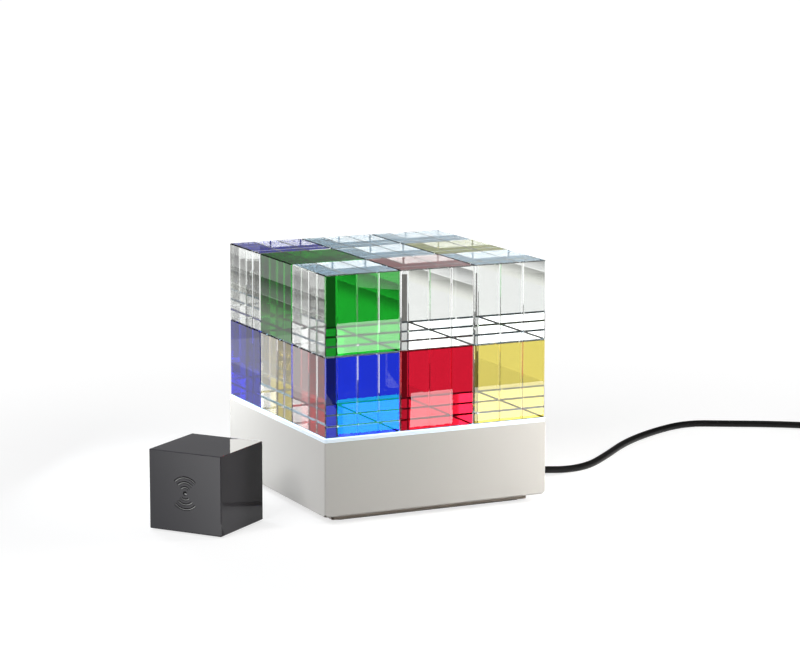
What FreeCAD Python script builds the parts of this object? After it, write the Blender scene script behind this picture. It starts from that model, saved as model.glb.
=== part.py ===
import FreeCAD, Part
import math
import os

# LED cube light: eighteen loose optical-glass cubes stand three by three, two high, on a square
# light box that shines up through an opal plate. A separate black control cube dims the light
# without wires, and a thin low-voltage lead runs to a plug-in power supply.
#
# Millimetres. Origin on the table at the middle of the base's rubber pad, X to the right along the
# base's front, Y to the back, +Z up.

V = FreeCAD.Vector
UP = V(0, 0, 1)

# Glass cubes
CUBE = 40.0
CUBE_BEVEL = 0.5
CUBE_GAP = 0.34
PITCH = CUBE + CUBE_GAP
COLUMNS = 3
LAYERS = 2
STACK_Z = 43.2
COLOURED_CUBES = {(0, 1, 1): "green", (0, 2, 0): "blue", (1, 0, 0): "red", (2, 1, 0): "yellow"}

# Light box: folded sheet housing, opal plate and the chamber between them
BASE = 122.0
SHELL_Z = 4.0
SHELL_TOP = 41.2
SHELL_T = 1.5
SHELL_CORNER_R = 1.0
BEND_R = 0.9
FLANGE_OPENING = 109.2
MITRE_ALONG = 2.4
MITRE_UP = 2.0
MITRE_HOLE_R = 0.75
PLATE_SIDE = 121.4
PLATE_TONGUE = 118.4
PLATE_STEP = 2.0
CHAMBER_SIDE = 118.4
CHAMBER_WALL = 1.5

# Bottom tray and what it carries
TRAY_SIDE = 108.0
TRAY_Z = 0.6
TRAY_T = 1.2
TRAY_CORNER_R = 0.8
TRAY_BEND_R = 0.7
TRAY_RIM_SIDE = 117.2
TRAY_RIM_R = 3.0
TRAY_RELIEF_R = 0.65
PAD_SIDE = 104.0
PAD_CORNER_R = 4.0
SCREW_LINE = 57.2
SCREW_OFFSET = 35.0
SCREW_R = 1.25
SCREW_HEAD_R = 2.2
SCREW_LENGTH = 4.2
NUT_R = 2.0
NUT_HEIGHT = 1.6
THROUGH = 9.0

# Light engine
CARRIER_Z = 11.6
CARRIER_T = 2.0
STANDOFF_XY = 46.0
STANDOFF_FLATS = 5.5
STANDOFF_BORE_R = 1.5
CARRIER_SCREW_HEAD_R = 2.8
CARRIER_SCREW_HEAD_H = 2.0
CARRIER_SCREW_LENGTH = 6.0
LED_BOARD_SIDE = 112.0
BOARD_T = 1.6
LEDS_PER_SIDE = 5
LED_PITCH = 20.0
LED_SIDE = 3.4
LED_H = 0.8
LED_LENS_R = 1.3
LED_LENS_H = 0.5

# Control board under the light engine
LEAD_Y = -13.0
LEAD_Z = 4.2
CONTROL_BOARD = (66.0, 36.0)
CONTROL_BOARD_X = 5.0
CONTROL_BOARD_Z = 5.2
POST_R = 2.0
TERMINAL_X = 34.5
CORE_R = 0.6
LINK_X = -18.0

# Low-voltage lead, its strain relief and the coil of its unseen length
CORD_D = 3.8
CORD_FLOOR_Z = 1.95
LEAD_ARCH_R = 3.6
RELIEF_NECK_R = 2.4
RELIEF_COLLAR_R = 2.9
RELIEF_TIP_R = 2.25
RELIEF_TIP_X = 74.0
RELIEF_FLANGE_T = 1.6
RELIEF_INNER_X = TRAY_SIDE / 2 - TRAY_T - RELIEF_FLANGE_T - 0.1
RELIEF_GROOVES = 4
CORD_ROUTE = [
    (RELIEF_TIP_X, LEAD_Y, LEAD_Z),
    (85.0, LEAD_Y, LEAD_Z),
    (99.0, -11.5, 2.3),
    (116.0, -7.5, CORD_FLOOR_Z),
    (137.0, 10.0, CORD_FLOOR_Z),
    (163.0, 34.5, CORD_FLOOR_Z),
    (192.0, 53.0, CORD_FLOOR_Z),
    (221.0, 64.5, CORD_FLOOR_Z),
    (241.0, 53.5, CORD_FLOOR_Z),
    (262.0, 41.5, 2.2),
    (281.5, 24.5, 2.75),
]
COIL_HEADING = -44.5
COIL_LEAD_IN = 25.0
COIL_TURNS = 10
COIL_LAYERS = 4
COIL_MID_R = 22.8
COIL_STEP = 4.35
COIL_Z = 2.75
COIL_MIN_GAP = 0.4
CLIMB_HALF = 0.25
TAIL_STRAIGHT = 8.0
TAIL_REACH = 22.0
TIE_T = 0.6
TIE_WIDTH = 8.0
TIE_ANGLE = 115.0

# Plug-in power supply, lying in line with the end of the lead
PSU_BODY = (56.0, 38.0, 30.0)
PSU_SPLIT = 36.0
PSU_WALL = 2.0
PSU_CORNER_R = 4.0
PSU_RELIEF = 14.0
PSU_RELIEF_R = 3.6
PIN_R = 2.0
PIN_LENGTH = 19.0
PIN_SPACING = 18.6
PIN_SLEEVE = 10.0
PIN_SLEEVE_R = 1.9

# Control cube
CONTROL_CORNER = (-140.0, -30.6)
CONTROL_YAW = -52.6
CONTROL_WALL = 2.0
CONTROL_BEVEL = 0.3
CONTROL_LIFT = 0.8
SIGN_RADII = (3.05, 5.45, 7.8)
SIGN_STROKE = 1.3
SIGN_DEPTH = 0.4
SIGN_HALF_SPAN = 46.0
SIGN_DOT_R = 1.15
BEAD_FIT = 0.1
BEAD_CREST = 0.06
CONTROL_FLOOR_T = 2.0
CONTROL_PAD_T = 0.6

saved = []


def save(name, shape):
    """Write one named piece to its own file, and note its volume."""
    shape.exportStep(os.path.join("parts", name + ".step"))
    saved.append((name, shape.Volume, shape.isValid()))


def block(size_x, size_y, size_z, z, x=0.0, y=0.0):
    """A box of the given size, centred on x, y, with its underside at z."""
    return Part.makeBox(size_x, size_y, size_z, V(x - size_x / 2, y - size_y / 2, z))


def upright_edges(shape):
    """The straight edges that run along Z."""
    return [e for e in shape.Edges if abs(e.tangentAt(e.FirstParameter).z) > 0.999]


def rounded_block(size_x, size_y, size_z, z, radius, x=0.0, y=0.0):
    """A box whose upright edges are rounded."""
    solid = block(size_x, size_y, size_z, z, x, y)
    return solid.makeFillet(radius, upright_edges(solid))


def rod(radius, length, start, direction=UP):
    return Part.makeCylinder(radius, length, start, direction)


def corners(reach):
    """The four points at plus and minus reach."""
    return [(x, y) for x in (-reach, reach) for y in (-reach, reach)]


def hexagon(flats, height, x, y, z):
    """An upright hexagonal prism, given across its flats."""
    reach = flats / math.sqrt(3)
    ring = [V(x + reach * math.cos(a), y + reach * math.sin(a), z)
            for a in (math.radians(60 * k) for k in range(7))]
    return Part.Face(Part.makePolygon(ring)).extrude(V(0, 0, height))


def glass_cubes():
    """Eighteen loose cubes, each with a fine bevel on all twelve edges."""
    for layer in range(LAYERS):
        for row in range(COLUMNS):
            for column in range(COLUMNS):
                cube = block(CUBE, CUBE, CUBE, STACK_Z + layer * CUBE,
                             (column - 1) * PITCH, (row - 1) * PITCH)
                cube = cube.makeChamfer(CUBE_BEVEL, cube.Edges)
                colour = COLOURED_CUBES.get((column, row, layer), "clear")
                level = ("lower", "upper")[layer]
                save(f"{level}_cube_{column + 1}{row + 1}_{colour}", cube)


def flange_screw_places():
    """Eight screws, two along each side of the flange."""
    places = []
    for side in (-SCREW_LINE, SCREW_LINE):
        for along in (-SCREW_OFFSET, SCREW_OFFSET):
            places += [(side, along), (along, side)]
    return places


def base_shell():
    """Folded sheet housing: four walls, and a flange turned in along the foot of each."""
    height = SHELL_TOP - SHELL_Z
    body = rounded_block(BASE, BASE, height, SHELL_Z, SHELL_CORNER_R)
    foot = [e for e in body.Edges if abs(e.CenterOfMass.z - SHELL_Z) < 0.01]
    body = body.makeFillet(BEND_R, foot)
    inside = BASE - 2 * SHELL_T
    body = body.cut(block(inside, inside, height, SHELL_Z + SHELL_T))
    body = body.cut(block(FLANGE_OPENING, FLANGE_OPENING, 3 * SHELL_T, SHELL_Z - SHELL_T))
    for x, y in corners(1.0):
        body = body.cut(mitred_corner(x, y))
    for x, y in flange_screw_places():
        body = body.cut(screw_solid(x, y, SCREW_HEAD_R + 0.05, SCREW_R + 0.1))
    return body.cut(rod(LEAD_ARCH_R, 12.0, V(BASE / 2 - 8.0, LEAD_Y, LEAD_Z), V(1, 0, 0)))


def mitred_corner(side_x, side_y):
    """What is missing where two walls and two flanges meet: a slanting cut and its relief hole."""
    outward = V(side_x / MITRE_ALONG, side_y / MITRE_ALONG, -1 / MITRE_UP).normalize()
    third = BASE / 2 - MITRE_ALONG / 3
    middle = V(side_x * third, side_y * third, SHELL_Z + MITRE_UP / 3)
    cut = Part.makeBox(2 * THROUGH, 2 * THROUGH, THROUGH, V(-THROUGH, -THROUGH, 0))
    cut.Placement = FreeCAD.Placement(middle, FreeCAD.Rotation(UP, outward))
    return cut.fuse(rod(MITRE_HOLE_R, 2 * SHELL_T, middle, outward * -1))


def screw_solid(x, y, head_r, shank_r):
    """A countersunk screw entering from below, flush with the flange's underside."""
    head_h = head_r - shank_r
    head = Part.makeCone(head_r, shank_r, head_h, V(x, y, SHELL_Z))
    return head.fuse(rod(shank_r, SCREW_LENGTH - head_h, V(x, y, SHELL_Z + head_h)))


def bottom_tray():
    """Folded pan that hangs by its rim inside the housing's foot and stands on the pad."""
    rim_z = SHELL_Z + SHELL_T
    floor_top = TRAY_Z + TRAY_T
    pan = rounded_block(TRAY_SIDE, TRAY_SIDE, rim_z + TRAY_T - TRAY_Z, TRAY_Z, TRAY_CORNER_R)
    pan = pan.makeFillet(TRAY_BEND_R, [e for e in pan.Edges if abs(e.CenterOfMass.z - TRAY_Z) < 0.01])
    rim = rounded_block(TRAY_RIM_SIDE, TRAY_RIM_SIDE, TRAY_T, rim_z, TRAY_RIM_R)
    inside = TRAY_SIDE - 2 * TRAY_T
    tray = pan.fuse(rim).removeSplitter()
    tray = tray.cut(block(inside, inside, THROUGH, floor_top))
    for x, y in corners(1.0):
        start = V(x, y, 0) * (TRAY_SIDE / 2 + TRAY_T / 4) + V(0, 0, floor_top)
        tray = tray.cut(rod(TRAY_RELIEF_R, 3 * TRAY_T, start, V(-x, -y, 0)))
    for x, y in flange_screw_places():
        tray = tray.cut(rod(NUT_R - 0.4, 3 * TRAY_T, V(x, y, rim_z - TRAY_T)))
    wall_x = TRAY_SIDE / 2 - TRAY_T
    middle = THROUGH / 2
    neck = 2 * RELIEF_NECK_R + 0.1
    collar = 2 * RELIEF_COLLAR_R + 0.4
    low = LEAD_Z - RELIEF_COLLAR_R - 0.1
    tray = tray.cut(block(THROUGH, neck, THROUGH, LEAD_Z - RELIEF_NECK_R - 0.05, wall_x + middle, LEAD_Y))
    tray = tray.cut(block(THROUGH, collar, THROUGH, floor_top, wall_x + TRAY_T + middle + 0.1, LEAD_Y))
    return tray.cut(block(3.0, collar, THROUGH, low, wall_x - 1.5, LEAD_Y))


def base_pieces():
    """Housing, tray, pad and the screws that join them."""
    save("base_shell", base_shell())
    save("bottom_tray", bottom_tray())
    save("rubber_base_pad", rounded_block(PAD_SIDE, PAD_SIDE, TRAY_Z, 0.0, PAD_CORNER_R))
    screws = []
    nuts = []
    for x, y in flange_screw_places():
        screw = screw_solid(x, y, SCREW_HEAD_R, SCREW_R)
        slot = block(3.0, 0.6, 0.8, SHELL_Z - 0.2, x, y)
        screws.append(screw.cut(slot.fuse(block(0.6, 3.0, 0.8, SHELL_Z - 0.2, x, y))))
        rim_z = SHELL_Z + SHELL_T
        nut = rod(NUT_R - 0.45, TRAY_T, V(x, y, rim_z))
        nut = nut.fuse(rod(NUT_R, NUT_HEIGHT, V(x, y, rim_z + TRAY_T)))
        nuts.append(nut.cut(rod(SCREW_R + 0.02, THROUGH, V(x, y, rim_z - 2.0))))
    save("tray_screws", Part.makeCompound(screws))
    save("press_nuts", Part.makeCompound(nuts))


def opal_plate():
    """Opal plate: a tongue inside the housing, and a wider glowing edge that stands proud."""
    proud = STACK_Z - SHELL_TOP
    plate = rounded_block(PLATE_SIDE, PLATE_SIDE, proud, SHELL_TOP, SHELL_CORNER_R)
    rim = [e for e in plate.Edges if abs(e.CenterOfMass.z - STACK_Z) < 0.01]
    plate = plate.makeChamfer(0.3, rim)
    tongue = block(PLATE_TONGUE, PLATE_TONGUE, PLATE_STEP, SHELL_TOP - PLATE_STEP)
    return plate.fuse(tongue).removeSplitter()


def light_engine():
    """White light chamber, heat-spreading carrier, LED board and the parts that hold them."""
    save("opal_plate", opal_plate())
    carrier_top = CARRIER_Z + CARRIER_T
    chamber_h = SHELL_TOP - PLATE_STEP - carrier_top
    chamber_in = CHAMBER_SIDE - 2 * CHAMBER_WALL
    chamber = block(CHAMBER_SIDE, CHAMBER_SIDE, chamber_h, carrier_top)
    save("light_chamber", chamber.cut(block(chamber_in, chamber_in, chamber_h + 2, carrier_top - 1)))

    carrier = block(CHAMBER_SIDE, CHAMBER_SIDE, CARRIER_T, CARRIER_Z)
    led_board = block(LED_BOARD_SIDE, LED_BOARD_SIDE, BOARD_T, carrier_top)
    standoffs = []
    screws = []
    tray_floor = TRAY_Z + TRAY_T
    for x, y in corners(STANDOFF_XY):
        carrier = carrier.cut(rod(STANDOFF_BORE_R + 0.1, THROUGH, V(x, y, CARRIER_Z - 2)))
        led_board = led_board.cut(rod(CARRIER_SCREW_HEAD_R + 0.5, THROUGH, V(x, y, CARRIER_Z)))
        post = hexagon(STANDOFF_FLATS, CARRIER_Z - tray_floor, x, y, tray_floor)
        standoffs.append(post.cut(rod(STANDOFF_BORE_R, 5.0, V(x, y, CARRIER_Z - 5.0))))
        shank = rod(STANDOFF_BORE_R - 0.05, CARRIER_SCREW_LENGTH,
                    V(x, y, carrier_top - CARRIER_SCREW_LENGTH))
        head = rod(CARRIER_SCREW_HEAD_R, CARRIER_SCREW_HEAD_H, V(x, y, carrier_top))
        socket = hexagon(2.0, 1.2, x, y, carrier_top + CARRIER_SCREW_HEAD_H - 1.2)
        screws.append(head.fuse(shank).cut(socket))
    link_gap = block(4.0, 8.0, THROUGH, CARRIER_Z - 1, LINK_X, LEAD_Y)
    led_board = led_board.cut(link_gap)
    save("heat_spreader_plate", carrier.cut(link_gap))
    save("led_board", led_board)
    save("board_standoffs", Part.makeCompound(standoffs))
    save("carrier_screws", Part.makeCompound(screws))

    leds = []
    led_z = carrier_top + BOARD_T
    for row in range(LEDS_PER_SIDE):
        for column in range(LEDS_PER_SIDE):
            x = (column - (LEDS_PER_SIDE - 1) / 2) * LED_PITCH
            y = (row - (LEDS_PER_SIDE - 1) / 2) * LED_PITCH
            lens = rod(LED_LENS_R, LED_LENS_H, V(x, y, led_z + LED_H))
            leds.append(block(LED_SIDE, LED_SIDE, LED_H, led_z, x, y).fuse(lens))
    save("leds", Part.makeCompound(leds))


def tube(points, radius):
    """A round tube along straight runs joined by tangent arcs. Returns it with its length."""
    edges, radii, length = rounded_path(points)
    profile = Part.Wire(Part.makeCircle(radius, points[0], points[1] - points[0]))
    solid = Part.Wire(edges).makePipeShell([profile], True, False)
    return solid, radii, length


def rounded_path(points):
    """Edges of a route: each inner point becomes an arc of 0.45 of the shorter run beside it."""
    edges = []
    radii = []
    start = points[0]
    for before, here, after in zip(points, points[1:], points[2:]):
        way_in = (here - before).normalize()
        way_out = (after - here).normalize()
        half_turn = way_in.getAngle(way_out) / 2
        cut = 0.45 * min((here - before).Length, (after - here).Length)
        radii.append(cut / math.tan(half_turn))
        arc_start = here - way_in * cut
        arc_end = here + way_out * cut
        to_centre = (way_out - way_in).normalize()
        middle = here + to_centre * (radii[-1] / math.cos(half_turn) - radii[-1])
        edges.append(Part.LineSegment(start, arc_start).toShape())
        edges.append(Part.Arc(arc_start, middle, arc_end).toShape())
        start = arc_end
    edges.append(Part.LineSegment(start, points[-1]).toShape())
    return edges, radii, sum(e.Length for e in edges)


def control_board():
    """Receiver and LED driver board on four posts, with its parts and its wiring."""
    size_x, size_y = CONTROL_BOARD
    board = block(size_x, size_y, BOARD_T, CONTROL_BOARD_Z, CONTROL_BOARD_X, LEAD_Y)
    top = CONTROL_BOARD_Z + BOARD_T
    posts = []
    for dx, dy in ((sx * (size_x / 2 - 4), sy * (size_y / 2 - 4)) for sx in (-1, 1) for sy in (-1, 1)):
        x = CONTROL_BOARD_X + dx
        y = LEAD_Y + dy
        post = rod(POST_R, CONTROL_BOARD_Z - TRAY_Z - TRAY_T, V(x, y, TRAY_Z + TRAY_T))
        post = post.fuse(rod(1.2, BOARD_T + 0.6, V(x, y, CONTROL_BOARD_Z)))
        posts.append(post)
        board = board.cut(rod(1.3, THROUGH, V(x, y, CONTROL_BOARD_Z - 2)))
    save("control_board", board)
    save("board_posts", Part.makeCompound(posts))

    terminal = block(7.0, 10.0, 4.2, top, TERMINAL_X, LEAD_Y)
    for dy in (-2.5, 2.5):
        entry = rod(CORE_R + 0.3, 5.0, V(TERMINAL_X - 1.0, LEAD_Y + dy, top + 1.8), V(1, 0, 0))
        screw_well = rod(1.3, 1.5, V(TERMINAL_X, LEAD_Y + dy, top + 2.9))
        terminal = terminal.cut(entry).cut(screw_well)
    save("terminal_block", terminal)
    save("radio_module", radio_module(top))
    save("driver_coil", driver_coil(top))
    capacitor = rod(3.1, 4.2, V(CONTROL_BOARD_X + 8.0, LEAD_Y - 9.0, top))
    rim = [e for e in capacitor.Edges if abs(e.CenterOfMass.z - top - 4.2) < 0.01 and e.Closed]
    save("smoothing_capacitor", capacitor.makeFillet(0.5, rim))
    save("driver_chip", block(7.0, 7.0, 1.0, top, CONTROL_BOARD_X - 6.0, LEAD_Y - 8.0))

    cores = []
    for side in (-1, 1):
        y_in = LEAD_Y + 1.0 * side
        y_out = LEAD_Y + 2.5 * side
        route = [V(RELIEF_INNER_X, y_in, LEAD_Z), V(48.4, y_in, LEAD_Z),
                 V(42.0, y_out, top + 1.8), V(TERMINAL_X - 0.5, y_out, top + 1.8)]
        cores.append(tube(route, CORE_R)[0])
    save("lead_cores", Part.makeCompound(cores))
    links = [rod(CORE_R, CARRIER_Z + CARRIER_T + BOARD_T - top, V(LINK_X, LEAD_Y + dy, top))
             for dy in (-2.0, 2.0)]
    save("link_wires", Part.makeCompound(links))


def radio_module(z):
    """Small plug-on board with a metal can."""
    carrier = block(18.0, 12.0, 0.8, z, CONTROL_BOARD_X - 17.0, LEAD_Y + 10.0)
    can = rounded_block(11.0, 10.0, 2.0, z + 0.8, 0.6, CONTROL_BOARD_X - 15.0, LEAD_Y + 10.0)
    return carrier.fuse(can)


def driver_coil(z):
    """Flat shielded coil with a round core set into its top."""
    x = CONTROL_BOARD_X + 10.0
    y = LEAD_Y + 8.0
    body = rounded_block(8.0, 8.0, 3.8, z, 1.2, x, y)
    ring = rod(3.2, 0.4, V(x, y, z + 3.4)).cut(rod(2.7, 0.4, V(x, y, z + 3.4)))
    return body.cut(ring)


def strain_relief():
    """Tapered rubber sleeve on the lead, held in the tray's wall by a groove."""
    wall = TRAY_SIDE / 2
    along = V(1, 0, 0)
    flange = rod(RELIEF_COLLAR_R, RELIEF_FLANGE_T, V(RELIEF_INNER_X, LEAD_Y, LEAD_Z), along)
    neck = rod(RELIEF_NECK_R, TRAY_T + 0.3, V(wall - TRAY_T - 0.2, LEAD_Y, LEAD_Z), along)
    collar = rod(RELIEF_COLLAR_R, 3.0, V(wall + 0.1, LEAD_Y, LEAD_Z), along)
    taper_x = wall + 3.1
    taper = Part.makeCone(RELIEF_COLLAR_R, RELIEF_TIP_R, RELIEF_TIP_X - taper_x,
                          V(taper_x, LEAD_Y, LEAD_Z), along)
    sleeve = flange.fuse([neck, collar, taper])
    for k in range(RELIEF_GROOVES):
        start = V(taper_x + 2.5 + 3.6 * k, LEAD_Y, LEAD_Z)
        sleeve = sleeve.cut(rod(5.0, 1.0, start, along).cut(rod(2.15, 1.0, start, along)))
    return sleeve


def coil_place(turn):
    """Point of the coil after so many turns, in the coil's own frame, its centre at the origin.

    The radius shrinks and grows by one step a turn, and turns round in a parabola in the half
    turn in which the lead climbs to the next layer.
    """
    per_layer = COIL_TURNS / COIL_LAYERS
    outer = COIL_MID_R + per_layer / 2 * COIL_STEP
    inner = COIL_MID_R - per_layer / 2 * COIL_STEP
    layer = min(int(turn / per_layer), COIL_LAYERS - 1)
    within = turn - layer * per_layer
    inward = layer % 2 == 0
    radius = outer - COIL_STEP * within if inward else inner + COIL_STEP * within
    nearest = round(turn / per_layer)
    off = turn - nearest * per_layer
    climbing = 0 < nearest < COIL_LAYERS and abs(off) < CLIMB_HALF
    if climbing:
        turning_in = nearest % 2 == 1
        cap = COIL_STEP * (off * off / (2 * CLIMB_HALF) + CLIMB_HALF / 2)
        radius = inner + cap if turning_in else outer - cap
        share = (off + CLIMB_HALF) / (2 * CLIMB_HALF)
        level = nearest - 1 + share * share * (3 - 2 * share)
    else:
        level = layer
    angle = 2 * math.pi * turn
    return V(radius * math.cos(angle), radius * math.sin(angle), level * COIL_STEP)


def coil_heading(turn):
    """Unit tangent of the coil at so many turns."""
    small = 1e-5
    return (coil_place(turn + small) - coil_place(turn - small)).normalize()


def biarc(start, start_way, end, end_way):
    """Two arcs that leave start along start_way, meet smoothly and reach end along end_way."""
    chord = end - start
    both = start_way + end_way
    b = 2 * chord.dot(both)
    a = 2 * (1 - start_way.dot(end_way))
    reach = chord.dot(chord) / b if a < 1e-9 else (
        (-b + math.sqrt(b * b + 4 * a * chord.dot(chord))) / (2 * a))
    joint = (start + end + (start_way - end_way) * reach) * 0.5
    return [arc_from(start, start_way, joint), arc_from(end, end_way * -1, joint)]


def arc_from(start, way, end):
    """The arc that leaves start along way and ends at end."""
    chord = end - start
    side = chord - way * chord.dot(way)
    half = way.getAngle(chord) / 2
    chord_way = V(chord).normalize()
    outward = (way - chord_way * way.dot(chord_way)).normalize()
    middle = start + chord * 0.5 + outward * (chord.Length / 2 * math.tan(half))
    if side.Length < 1e-7:
        return Part.LineSegment(start, end).toShape()
    return Part.Arc(start, middle, end).toShape()


def coil_frame():
    """Placement that brings the coil's start to the end of the lead's route, along its heading."""
    heading = math.radians(COIL_HEADING)
    way = V(math.cos(heading), math.sin(heading), 0)
    last = V(*CORD_ROUTE[-1])
    start = last + way * (COIL_LEAD_IN + CORD_D)
    first = coil_heading(1e-4)
    turn = COIL_HEADING - math.degrees(math.atan2(first.y, first.x))
    spin = FreeCAD.Rotation(UP, turn)
    return FreeCAD.Placement(start - spin.multVec(coil_place(0)), spin), way


def cord_pieces():
    """The lead from the base to its coil, the coil, the tail to the power supply and the tie."""
    frame, way = coil_frame()
    coil_start = frame.multVec(coil_place(0))
    lead_in_end = coil_start - way * CORD_D
    route = [V(*p) for p in CORD_ROUTE] + [lead_in_end]
    lead, radii, length = tube(route, CORD_D / 2)
    section = math.pi * (CORD_D / 2) ** 2
    print("lead radii mm:", [round(r, 1) for r in radii])
    print(f"lead length {length:.1f} mm, volume over section x length {lead.Volume / section / length:.4f}")
    save("power_cord", lead)

    quarters = COIL_TURNS * 4
    edges = [Part.LineSegment(lead_in_end, coil_start).toShape()]
    places = [frame.multVec(coil_place(k / 4)) for k in range(quarters + 1)]
    ways = [frame.Rotation.multVec(coil_heading(k / 4)) for k in range(quarters + 1)]
    ways[0] = way
    for k in range(quarters):
        edges += biarc(places[k], ways[k], places[k + 1], ways[k + 1])
    coil_end = places[-1] + ways[-1] * CORD_D
    edges.append(Part.LineSegment(places[-1], coil_end).toShape())
    path = Part.Wire(edges)
    profile = Part.Wire(Part.makeCircle(CORD_D / 2, lead_in_end, way))
    coil = path.makePipeShell([profile], True, False)
    coil_length = sum(e.Length for e in edges)
    gap = least_self_gap()
    print(f"coil length {coil_length:.1f} mm, least gap {gap:.2f} mm, "
          f"volume over section x length {coil.Volume / section / coil_length:.4f}")
    if gap < COIL_MIN_GAP:
        raise ValueError("the coil's turns are too close")
    save("cord_coil", coil)

    supply = psu_frame(coil_end, ways[-1])
    tail_end = supply.multVec(V(-PSU_RELIEF, 0, PSU_BODY[2] / 2))
    along = supply.Rotation.multVec(V(1, 0, 0))
    tail_points = [coil_end, coil_end + ways[-1] * TAIL_STRAIGHT, tail_end - along * TAIL_STRAIGHT, tail_end]
    tail, tail_radii, tail_length = tube(tail_points, CORD_D / 2)
    print("tail radii mm:", [round(r, 1) for r in tail_radii], f"length {tail_length:.1f} mm")
    print(f"whole lead {length + coil_length + tail_length:.0f} mm")
    save("cord_tail", tail)
    save("cord_tie", cord_tie(frame))
    return supply


def least_self_gap():
    """Least clear gap between the coil's turns, measured on points half a turn or more apart."""
    per_turn = 48
    points = [coil_place(k / per_turn) for k in range(COIL_TURNS * per_turn + 1)]
    least = min((p - q).Length for k, p in enumerate(points) for q in points[k + per_turn // 2:])
    return least - CORD_D


def cord_tie(frame):
    """Flat strap round the bundle of turns."""
    half_width = COIL_TURNS / COIL_LAYERS / 2 * COIL_STEP
    room = 0.65
    inner_r = COIL_MID_R - half_width - CORD_D / 2 - room
    outer_r = COIL_MID_R + half_width + CORD_D / 2 + room / 2
    low = TIE_T
    high = COIL_Z + (COIL_LAYERS - 1) * COIL_STEP + CORD_D / 2 + 0.2
    outside = Part.makeBox(outer_r - inner_r + 2 * TIE_T, TIE_WIDTH, high - low + 2 * TIE_T,
                           V(inner_r - TIE_T, -TIE_WIDTH / 2, low - TIE_T))
    inside = Part.makeBox(outer_r - inner_r, TIE_WIDTH * 2, high - low, V(inner_r, -TIE_WIDTH, low))
    along_y = lambda s: [e for e in s.Edges if abs(e.tangentAt(e.FirstParameter).y) > 0.99]
    strap = outside.makeFillet(1.8, along_y(outside)).cut(inside.makeFillet(1.2, along_y(inside)))
    spin = FreeCAD.Rotation(UP, TIE_ANGLE)
    centre = frame.multVec(V(0, 0, 0))
    strap.Placement = FreeCAD.Placement(V(centre.x, centre.y, 0), spin)
    return strap


def psu_frame(coil_end, way):
    """Placement of the power supply: its rear face ahead of the coil's end, on the table."""
    flat = V(way.x, way.y, 0).normalize()
    reach = TAIL_REACH + PSU_RELIEF
    rear = V(coil_end.x, coil_end.y, 0) + flat * reach
    return FreeCAD.Placement(rear, FreeCAD.Rotation(UP, math.degrees(math.atan2(flat.y, flat.x))))


def power_supply(frame):
    """Plug-in supply in its own frame: X from the lead's end to the pins, standing on z = 0."""
    length, width, height = PSU_BODY
    outer = Part.makeBox(length, width, height, V(0, -width / 2, 0))
    outer = outer.makeFillet(PSU_CORNER_R, [e for e in outer.Edges
                                            if abs(e.tangentAt(e.FirstParameter).x) > 0.99])
    ends = [e for e in outer.Edges if abs(e.CenterOfMass.x) < 0.01]
    outer = outer.makeFillet(2.0, ends)
    room = Part.makeBox(length - 2 * PSU_WALL, width - 2 * PSU_WALL, height - 2 * PSU_WALL,
                        V(PSU_WALL, -width / 2 + PSU_WALL, PSU_WALL))
    case = outer.cut(room)
    seam = 0.1
    rear_zone = Part.makeBox(PSU_SPLIT - seam, 60, 60, V(0, -30, -10))
    front_zone = Part.makeBox(length, 60, 60, V(PSU_SPLIT, -30, -10))
    middle = height / 2
    rear = case.common(rear_zone).cut(rod(2.4, 6.0, V(-2, 0, middle), V(1, 0, 0)))
    front = case.common(front_zone)
    pins = []
    for side in (-1, 1):
        y = side * PIN_SPACING / 2
        start = V(length - PSU_WALL - 3.0, y, middle)
        front = front.cut(rod(PIN_R, THROUGH, start, V(1, 0, 0)))
        pin = rod(PIN_R, PSU_WALL + 3.0, start, V(1, 0, 0))
        pin = pin.fuse(rod(PIN_SLEEVE_R, PIN_SLEEVE, V(length, y, middle), V(1, 0, 0)))
        tip = rod(PIN_R, PIN_LENGTH - PIN_SLEEVE, V(length + PIN_SLEEVE, y, middle), V(1, 0, 0))
        rim = [e for e in tip.Edges if abs(e.CenterOfMass.x - length - PIN_LENGTH) < 0.01]
        pins.append(pin.fuse(tip.makeFillet(1.2, rim)))
    board = Part.makeBox(length - 12.0, width - 8.0, BOARD_T, V(6.0, -width / 2 + 4.0, 7.0))
    core = Part.makeBox(18.0, 18.0, 14.0, V(24.0, -9.0, 7.0 + BOARD_T))
    winding = core.cut(Part.makeBox(10.0, 20.0, 10.0, V(28.0, -10.0, 8.0 + BOARD_T)))
    bobbin = Part.makeBox(10.0, 17.0, 10.0, V(28.0, -8.5, 8.0 + BOARD_T))
    along = V(1, 0, 0)
    relief = Part.makeCone(CORD_D / 2 + 0.35, PSU_RELIEF_R, PSU_RELIEF, V(-PSU_RELIEF, 0, middle), along)
    relief = relief.fuse(rod(2.3, PSU_WALL, V(0, 0, middle), along))
    relief = relief.fuse(rod(3.4, 2.0, V(PSU_WALL, 0, middle), along))
    pieces = {
        "supply_rear_housing": rear,
        "supply_front_housing": front,
        "supply_pins": Part.makeCompound(pins),
        "supply_circuit_board": board,
        "supply_transformer": winding.fuse(bobbin),
        "supply_strain_relief": relief,
    }
    for name, shape in pieces.items():
        shape.Placement = frame.multiply(shape.Placement)
        save(name, shape)


def sign_grooves():
    """The wireless sign cut into the face y = 0: a dot between two fans of three arcs."""
    centre = V(CUBE / 2, 0, CUBE / 2)
    inward = V(0, 1, 0)
    half = SIGN_STROKE / 2
    grooves = [rod(SIGN_DOT_R, SIGN_DEPTH, centre, inward)]
    for radius in SIGN_RADII:
        ring = rod(radius + half, SIGN_DEPTH, centre, inward)
        ring = ring.cut(rod(radius - half, SIGN_DEPTH, centre, inward))
        grooves += [ring.common(fan(side, SIGN_HALF_SPAN, centre)) for side in (-1, 1)]
    return grooves


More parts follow.
